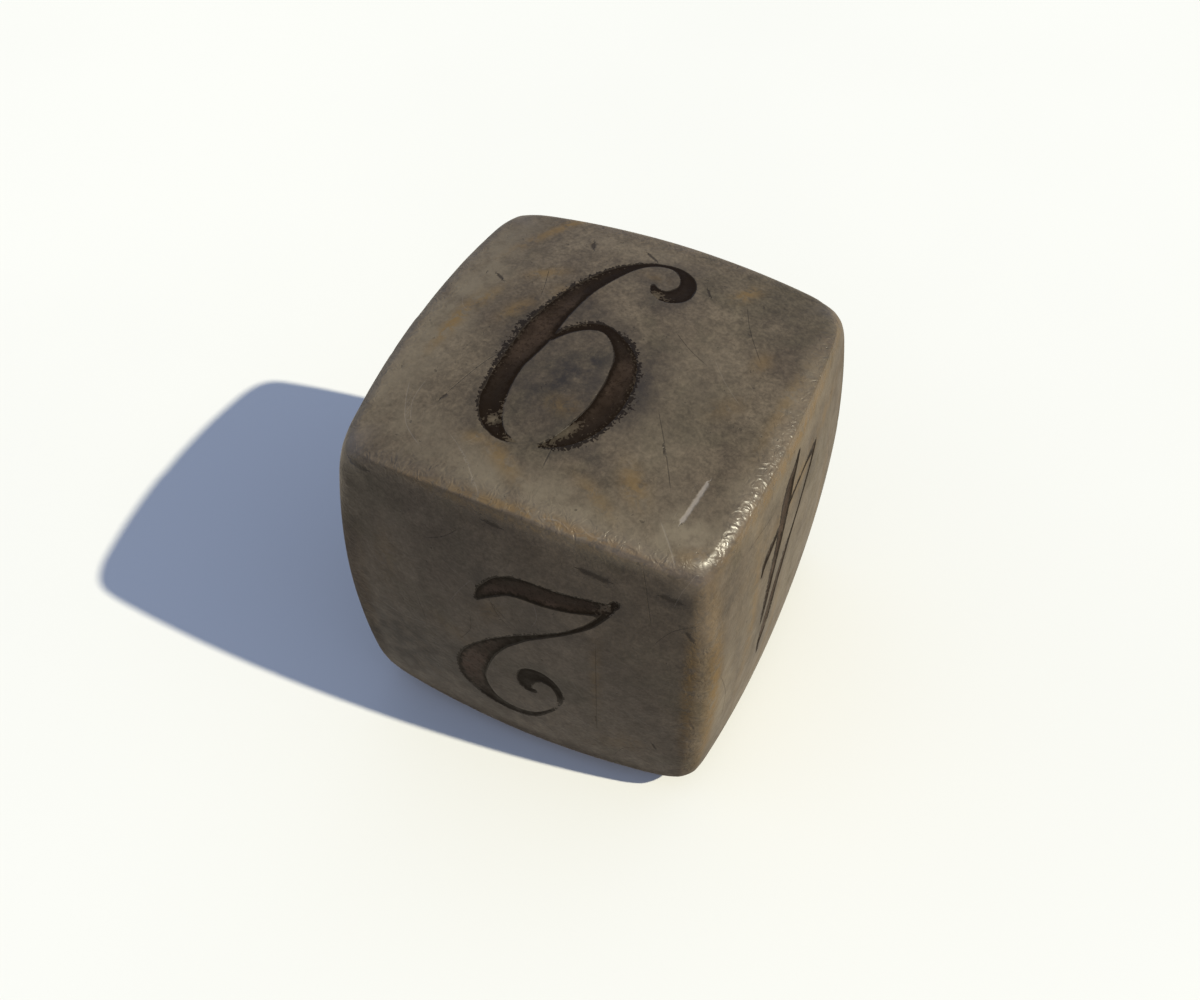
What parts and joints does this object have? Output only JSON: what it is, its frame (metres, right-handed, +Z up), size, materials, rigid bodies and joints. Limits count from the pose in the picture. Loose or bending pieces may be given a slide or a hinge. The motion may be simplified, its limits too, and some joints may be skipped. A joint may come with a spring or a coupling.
{
  "type": "numbered die",
  "caption": "Cube die of aged bone with crowned faces, soft rolled edges and engraved, pigment-filled calligraphic numerals.",
  "frame": {"origin": "middle of the flat under the die, on the surface it stands on", "axes": "+Z up out of the face of the six; -Y out of the face of the two; +X out of the face of the four"},
  "size_m": [0.019, 0.019, 0.019],
  "materials": {
    "bone": "polished aged bone, satin gloss, stained grey-brown",
    "pigment": "dull near-black pigment rubbed into the engraving"
  },
  "bodies": {
    "root": {"die_body": "bone", "numeral_one": "pigment", "numeral_two": "pigment", "numeral_three": "pigment", "numeral_four": "pigment", "numeral_five": "pigment", "numeral_six": "pigment"}
  },
  "joints": []
}
